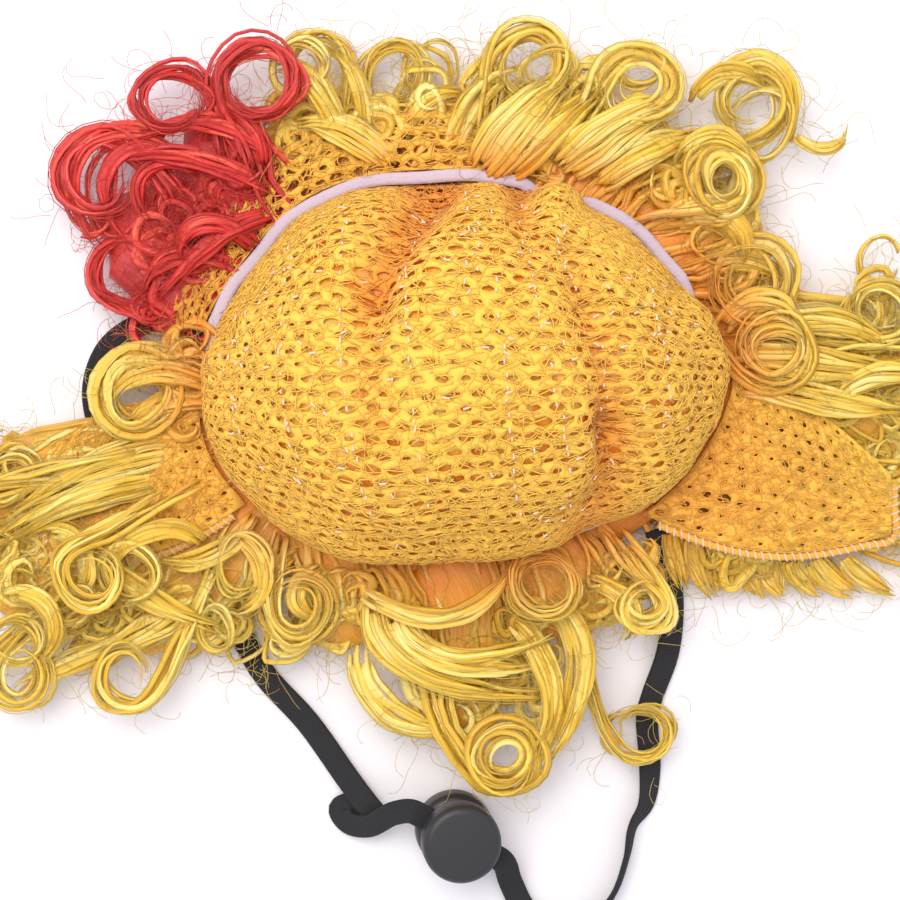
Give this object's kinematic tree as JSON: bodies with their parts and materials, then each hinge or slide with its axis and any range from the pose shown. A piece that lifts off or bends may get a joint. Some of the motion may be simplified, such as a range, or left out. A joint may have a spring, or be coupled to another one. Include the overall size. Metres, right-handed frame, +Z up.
{
  "type": "pet wig",
  "caption": "Small curly wig for a pet, turned inside out and laid flat: gathered net cap, side flaps, curly hair round the rim, elastic chin strap with a cord lock.",
  "frame": {"origin": "on the floor under the middle of the wig's outline, without the chin strap and cord lock", "axes": "+X to the right flap, +Y to the front edge with the forelock, +Z up, out of the net cap"},
  "size_m": [0.2632, 0.2297, 0.0591],
  "materials": {
    "net": "coarse warp-knit polyester net, matt, fuzzy yarns",
    "yellow_hair": "silky synthetic fibre, crimped and curled",
    "red_hair": "silky synthetic fibre, crimped and curled",
    "pale_elastic": "thin woven elastic, matt",
    "edging": "overlock stitching over a net edge",
    "black_elastic": "flat ribbed braided elastic, matt",
    "black_plastic": "moulded plastic, fine grain"
  },
  "bodies": {
    "root": {"cap_net": "net", "crown_hair": "yellow_hair", "rim_elastic": "pale_elastic", "front_net_band": "net", "right_flap": "net", "left_flap": "net", "right_flap_edging": "edging", "left_flap_edging": "edging", "red_forelock": "red_hair", "top_hair_left": "yellow_hair", "top_hair_right": "yellow_hair", "side_hair_right": "yellow_hair", "back_hair": "yellow_hair", "side_hair_left": "yellow_hair", "temple_curl": "yellow_hair", "chin_strap": "black_elastic", "cord_lock_base": "black_plastic", "cord_lock_button": "black_plastic"}
  },
  "joints": []
}
